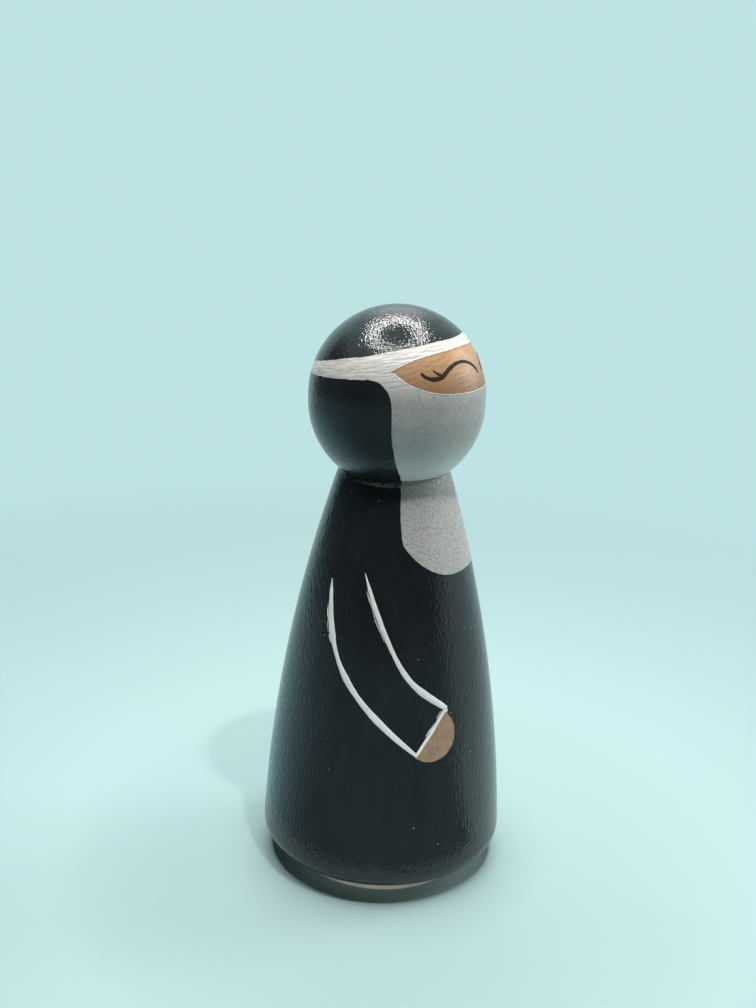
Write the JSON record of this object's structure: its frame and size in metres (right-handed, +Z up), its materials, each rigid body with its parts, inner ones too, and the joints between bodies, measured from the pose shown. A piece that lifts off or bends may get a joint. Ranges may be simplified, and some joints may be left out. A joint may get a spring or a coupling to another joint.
{
  "type": "peg doll",
  "caption": "Turned wooden peg doll with a ball head on a bell-shaped body, painted as a nun in a black habit and veil with a grey wimple and bib. It stands on a flat foot.",
  "frame": {"origin": "centre of the flat foot, on the surface that the doll stands on", "axes": "+Z up along the turned axis; the doll faces -Y, so its right side is at -X"},
  "size_m": [0.0384, 0.0384, 0.089],
  "materials": {
    "bare_wood": "bare, sanded smooth",
    "black_paint": "satin acrylic over visible wood grain",
    "grey_paint": "satin acrylic",
    "white_paint": "hand-brushed acrylic line",
    "skin_paint": "satin acrylic",
    "hand_paint": "satin acrylic",
    "brown_ink": "pen line"
  },
  "bodies": {
    "root": {"body": "bare_wood", "head": "bare_wood", "neck_dowel": "bare_wood", "habit_coat": "black_paint", "veil_crown_coat": "black_paint", "veil_back_coat": "black_paint", "bib_coat": "grey_paint", "coif_coat": "grey_paint", "face_coat": "skin_paint", "right_eye_line": "brown_ink", "left_eye_line": "brown_ink", "right_sleeve_line": "white_paint", "left_sleeve_line": "white_paint", "right_hand": "hand_paint", "left_hand": "hand_paint"}
  },
  "joints": []
}
